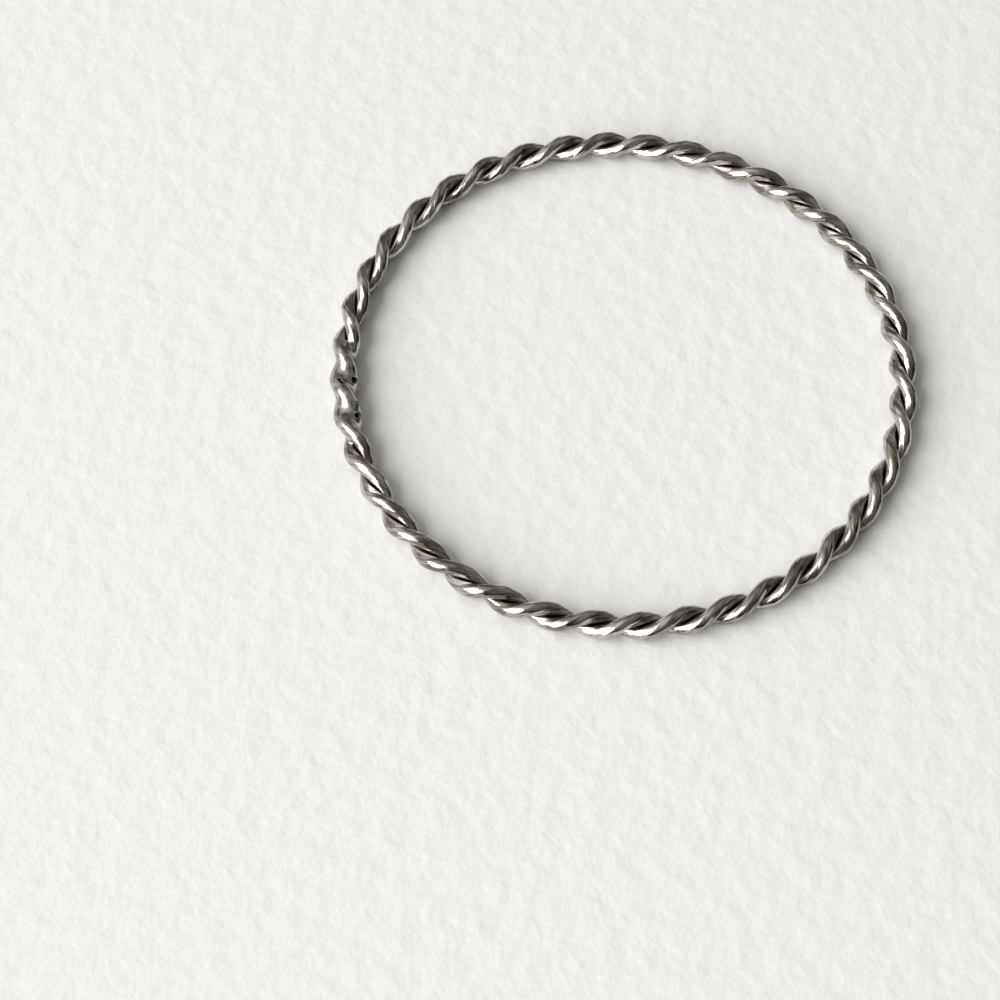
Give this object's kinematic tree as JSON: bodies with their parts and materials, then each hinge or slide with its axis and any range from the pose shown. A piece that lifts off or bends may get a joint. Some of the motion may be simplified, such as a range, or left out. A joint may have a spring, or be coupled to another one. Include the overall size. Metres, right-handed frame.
{
  "type": "stacking ring",
  "caption": "Slim finger ring of round silver wires twisted together like a rope and closed with a solder seam, worn alone or stacked.",
  "frame": {"origin": "middle of the ring's footprint, at the lowest point of the band", "axes": "+Z along the ring's axis, up from the surface that it lies on; the solder seam is on the -X side"},
  "size_m": [0.0192, 0.0192, 0.0009],
  "materials": {
    "silver": "sterling silver wire, drawn and polished, with tarnish left in the grooves and a duller solder seam"
  },
  "bodies": {
    "root": {"twisted_band": "silver"}
  },
  "joints": []
}
